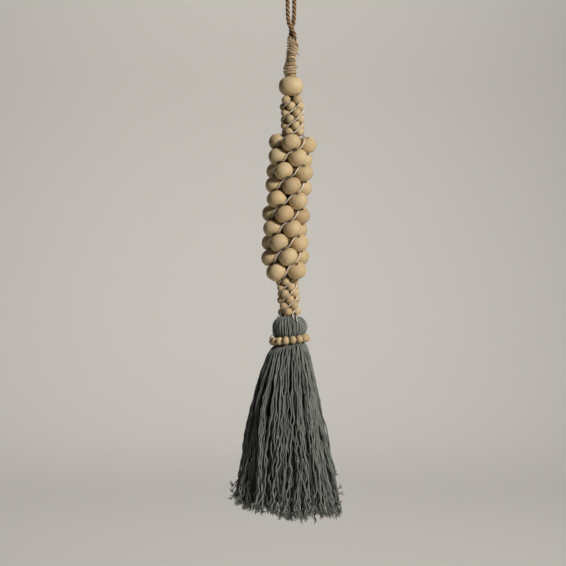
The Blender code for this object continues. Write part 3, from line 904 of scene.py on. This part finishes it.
def add_braid():
    for strand in range(STRANDS):
        small = []
        for number, (_, _, _, diameter, length, name) in enumerate(ROWS):
            centre, bore = strand_at(strand, number), bore_at(strand, number)
            size = min(RNG.normal(0.998, 0.012), 1.0)
            if name != "large":
                small.append(bead(centre, bore, diameter * size, length, SMALL_BORE_R, 22, 13))
                continue
            order = number - BRAID[0][1] + 1
            node = f"large_bead_{order:02d}_{strand + 1}"
            shape = bead(centre, bore, diameter * size, length, LARGE_BORE_R, 36, 21)
            add_piece(f"wood_bead_{order:02d}_{strand + 1}", [shape], "wood", [node])
        add_piece(f"small_beads_{strand + 1}", small, "wood", [f"bead_strand_{strand + 1}"])
        first, last = ROWS[0], ROWS[-1]
        turn = QUARTER * strand
        route = [on_braid(144.0 * MM, first[1] + turn - 0.9, 2.0 * MM)]
        for number in range(len(ROWS)):
            centre, bore = strand_at(strand, number), bore_at(strand, number)
            half = ROWS[number][4] / 2
            if ROWS[number][-1] == "large":
                inward = np.array([float(lean_at(-centre[2])[0]), 0, centre[2]]) - centre
                centre = centre + unit(inward - (inward @ bore) * bore) * (LARGE_BORE_R - 0.55 * CORD_D)
            route += [centre + 0.8 * half * bore, centre - 0.8 * half * bore]
        route.append(on_braid(367.5 * MM, last[1] + turn + 0.6, 5.0 * MM))
        part = cord(route, CORD_D, 2, 8, 5 * MM, 1.0 * MM)
        add_piece(f"strand_cord_{strand + 1}", [part], "cotton_cord")
    for number in range(STRANDS):
        part = crossing_part(number)
        node = f"crossing_cord_{number + 1}"
        add_piece(f"crossing_cotton_{number + 1}", [part], "cotton_cord", [node])
    up = (0.02, 0, 1)
    shape = bead((0, 0, -TOP_BEAD_DEPTH), up, TOP_BEAD_D, TOP_BEAD_L, TOP_BORE_R, 44, 25)
    add_piece("top_wood_bead", [shape], "wood", ["top_bead"])


# ---------------------------------------------------------------- the ring and the yarn
def on_ring(angle, radius=RING_R, rise=0.0):
    x = radius * math.sin(angle)
    lean = float(lean_at(RING_DEPTH)[0])
    return np.array([lean + x, -radius * math.cos(angle), x * math.tan(RING_TILT) + rise - RING_DEPTH])


def add_bead_ring():
    step = TURN / RING_BEADS
    parts = []
    for number in range(RING_BEADS):
        angle = RING_START + step * number
        bore = on_ring(angle + 0.05) - on_ring(angle - 0.05)
        bore = unit(bore) + RNG.normal(0, 0.045, 3)
        diameter = RING_BEAD_D * RNG.normal(1.0, 0.02)
        radius = RING_R + RNG.normal(0, 0.15) * MM
        parts.append(bead(on_ring(angle, radius), bore, diameter, RING_BEAD_L, SMALL_BORE_R, 22, 13))
    add_piece("ring_beads", parts, "wood", ["bead_ring"])
    circle = [on_ring(RING_START + a) for a in np.linspace(0, TURN * 0.985, 60)]
    tail = [on_ring(RING_START + a, RING_R + r * MM, z * MM) for a, r, z in RING_TAIL]
    parts = [cord(circle, CORD_D, 2, 8, 5 * MM, 0.8 * MM), cord(tail, CORD_D, 2, 10, 4.2 * MM, 0.4 * MM)]
    add_piece("ring_cord", parts, "cotton_cord")


def hem_depth(angle):
    jag = np.sin(5 * angle + 1.0) + 0.7 * np.sin(11 * angle + 0.4)
    front = np.clip(np.cos(angle), 0, 1)
    return HEM_DEPTH + HEM_DIP * front + HEM_TILT * np.sin(angle) + HEM_JAG * jag


def yarn_paths(strands, neck, hem, out_from, out_to, over_dome, layer):
    """Centre lines and radii of one layer of yarn, from the dome or neck down to near the hem."""
    outline = np.array(YARN)
    outline = outline if over_dome else outline[NECK_ROW:]
    rows = np.arange(len(outline))
    fine = smooth(np.column_stack([rows, outline]), np.linspace(0, rows[-1], 400))
    rising = 150  # from here on the depth of the fine outline rises all the way
    at = along(fine[:, :2])
    count = 88 if over_dome else 78 if layer < 5 else 54
    angle0 = (np.arange(strands) + RNG.uniform(-0.42, 0.42, strands) + 0.5 * layer) * TURN / strands
    end = hem_depth(angle0) / MM - 8.0 + np.clip(RNG.normal(0, 2.4, strands), -6, 3.4)
    end += LOCK_ENDS[nearest_lock(angle0)]
    short = RNG.random(strands) < 0.05
    end -= short * RNG.uniform(8, 45, strands)
    end += 11.0 * (1 - hem)
    stop = np.interp(end, fine[rising:, 0], at[rising:])
    share = np.linspace(0, 1, count)
    place = share[None] * stop[:, None]
    depth, radius, tilt = (np.interp(place, at, fine[:, i]) for i in range(3))
    grow = ease((depth - 396) / 60)
    late = ease((depth - (end[:, None] - 26)) / 26)
    out_share = neck + (hem - neck) * ease((depth - out_from) / (out_to - out_from))
    if over_dome:
        dome = 1 - ease((depth - 384) / 8)
        out_share = out_share + dome * ((1.0 if layer == 0 else 0.925) - out_share)
    lock = nearest_lock(angle0)
    phase = RNG.uniform(0, TURN, (strands, 6))
    long, short_wave = RNG.uniform(34, 75, (strands, 1)), RNG.uniform(11, 19, (strands, 1))
    pull = LOCK_PULLS[lock][:, None] * (ease((depth - 394) / 45) - 0.45 * ease((depth - 495) / 60))
    away = np.angle(np.exp(1j * (LOCK_ANGLES[lock] - angle0)))[:, None]
    lock_wave = np.sin(depth / LOCK_WAVES[lock][:, None] + LOCK_PHASES[lock][:, None])
    angle = angle0[:, None] + pull * away + 0.05 * grow * lock_wave
    drift = RNG.normal(0, 1.0, (strands, 1)) * 1.9 * ease((depth - 396) / 150)
    bold = (RNG.random((strands, 1)) < 0.24) * RNG.normal(0, 9.0, (strands, 1))
    drift = drift + bold * ease((depth - 396) / 160)
    loose = ease((depth - 398) / 110)
    sideways = drift + loose * 1.1 * np.sin(TURN * depth / long + phase[:, :1])
    sideways += loose * (0.45 + 1.1 * late) * np.sin(TURN * depth / short_wave + phase[:, 1:2])
    ripple = 0.3 * np.sin(TURN * depth / 15 + phase[:, 4:5])
    sideways += ripple + 0.5 * np.sin(TURN * depth / 27 + phase[:, 5:6])
    outward = loose * 0.9 * np.sin(TURN * depth / (long * 0.8) + phase[:, 2:3])
    outward += loose * (0.35 + 0.9 * late) * np.sin(TURN * depth / (short_wave * 1.1) + phase[:, 3:4])
    proud = np.clip(RNG.normal(0, 1, (strands, 1)), -1.8, 1.2)
    outward += proud * (0.22 * (1 - grow) + 1.1 * grow) - 1.5 * grow
    outward += 0.4 * (1 - grow) * np.sin(TURN * depth / 21 + phase[:, 3:4])
    edge = abs((1 - pull / 0.6) * away) / (math.pi / LOCKS)
    outward -= grow * 5.0 * np.clip(edge, 0, 1.3) ** 2
    outward += grow * 2.2 * np.sin(depth / 31 + 2 * LOCK_PHASES[lock][:, None])
    side_flare = 0.5 + np.clip(-np.sin(angle0), 0, 1) * 0.55 + np.clip(np.sin(angle0), 0, 1) * 0.2
    outward += late**2 * (RNG.uniform(-1.5, 4.5, strands) * side_flare * hem)[:, None]
    thick = YARN_R / MM
    out = (radius - thick) * out_share + outward
    angle = angle + sideways / np.maximum(radius, 9.0)
    x = out * np.sin(angle)
    lean = lean_at(depth * MM) / MM
    z = x * tilt * math.tan(RING_TILT) - depth
    paths = np.stack([lean + x, -out * np.cos(angle), z], axis=-1) * MM
    tight = 0.88 + 0.12 * ease((depth - 394) / 14)
    if over_dome:
        tight = np.maximum(tight, 1.06 * (1 - ease((depth - 382) / 6)))
        tight = tight * (0.55 + 0.45 * ease(place / 14))
    slub = 1 + 0.05 * np.sin(TURN * depth / 23 + phase[:, 5:6])
    return paths, YARN_R * tight * slub


def nearest_lock(angles):
    away = np.angle(np.exp(1j * (angles[:, None] - LOCK_ANGLES[None])))
    return abs(away).argmin(1)


def frayed_ends(paths, radii, fibres):
    """The fine fibres that each strand's cut end opens into, bent every way."""
    total = len(paths) * fibres
    tip = np.repeat(paths[:, -1], fibres, axis=0)
    ahead = np.repeat(unit(paths[:, -1] - paths[:, -4]), fibres, axis=0)
    thick = np.repeat(radii[:, -1], fibres)[:, None]
    spread = RNG.normal(size=(total, 3))
    spread = unit(spread - (spread * ahead).sum(1, keepdims=True) * ahead)
    across = np.cross(ahead, spread)
    long = RNG.uniform(0.8, 3.8, (total, 1)) * MM
    open_out = abs(RNG.normal(0.25, 0.32, (total, 1))) * long
    curl = RNG.uniform(0.5, 1.7, (total, 1)) * MM
    share = np.linspace(0, 1, 8)[None, :, None]
    phase = RNG.uniform(0, TURN, (total, 1))[:, None]
    start = tip - ahead * 3.0 * MM + spread * thick * 0.6
    lines = start[:, None] + share * (ahead * (long + 3.0 * MM))[:, None]
    lines = lines + share**2 * (spread * open_out)[:, None]
    winding = np.sin(share * 5.0 + phase) - np.sin(phase)
    lines = lines + share * winding * (across * curl)[:, None]
    lines = lines + share * (np.cos(share * 4.2 + phase) - np.cos(phase)) * (spread * curl)[:, None]
    fine = 0.4 * MM * (1 - 0.5 * share[..., 0]) * RNG.uniform(0.7, 1.2, (total, 1))
    return tubes(lines, fine, np.ones(3), None, RNG.uniform(1.1, 2.1, total))


def loose_ends():
    lines, radii = [], []
    for x, y, z, run, drop, curl, radius in LOOSE_ENDS:
        share = np.linspace(0, 1, 22)
        swing = curl * share * np.sin(share * 7.5)
        side = x + run * share + 0.5 * swing
        line = np.column_stack([side, y - 1.5 * share + 0.4 * swing, z - drop * share**0.8 + swing])
        lines.append(line * MM)
        radii.append(radius * MM * (1 - 0.35 * share))
    lines, radii = np.array(lines), np.array(radii)
    tints_and_shades = RNG.uniform(1.15, 1.5, len(lines))
    return [tubes(lines, radii, np.ones(6), None, tints_and_shades), frayed_ends(lines, radii, 8)]


def add_yarn():
    frays = loose_ends()
    for layer, (name, painted_shade, *row) in enumerate(LAYERS):
        paths, radii = yarn_paths(*row, layer)
        # Painted shade: each layer's strands are scaled by its share, the deeper layers darkest, times a
        # random tone per strand.
        tints_and_shades = painted_shade * RNG.normal(1.0, 0.13, len(paths))
        part = tubes(paths, radii, np.ones(5), None, tints_and_shades)
        replaced = ["yarn_tassel"] if layer == 0 else []
        add_piece(f"yarn_{name}", [part], "cotton_yarn", replaced)
        frays.append(frayed_ends(paths, radii, 6 if layer < 5 else 4))
    add_piece("yarn_frayed_ends", frays, "cotton_yarn")


add_camera()
add_loop()
add_surroundings()
add_whipping()
add_braid()
add_bead_ring()
add_yarn()
